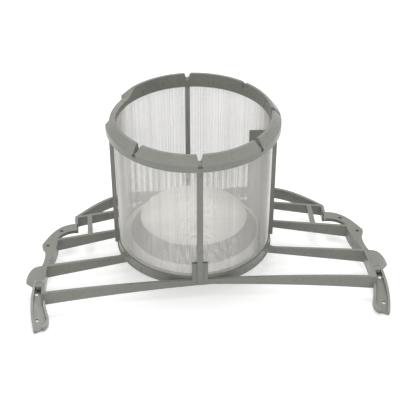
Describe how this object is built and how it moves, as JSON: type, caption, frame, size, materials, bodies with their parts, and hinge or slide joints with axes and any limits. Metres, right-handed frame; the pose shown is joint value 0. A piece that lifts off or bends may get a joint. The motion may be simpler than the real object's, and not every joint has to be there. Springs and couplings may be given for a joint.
{
  "type": "dishwasher filter",
  "caption": "Grey moulded filter basket with steel mesh wall and floor, and a flat barred wing on each side that lies over the sump.",
  "frame": {"origin": "on the basket's axis, level with the underside of the base ring", "axes": "+Z along the basket's axis out of its mouth, -Y to the front where the wings' paddles are, +X to the right wing"},
  "size_m": [0.234, 0.1337, 0.1111],
  "materials": {
    "grey_plastic": "satin warm grey",
    "steel_mesh": "fine woven wire, bright"
  },
  "bodies": {
    "root": {"filter_frame": "grey_plastic", "wall_mesh": "steel_mesh", "floor_mesh": "steel_mesh"}
  },
  "joints": []
}
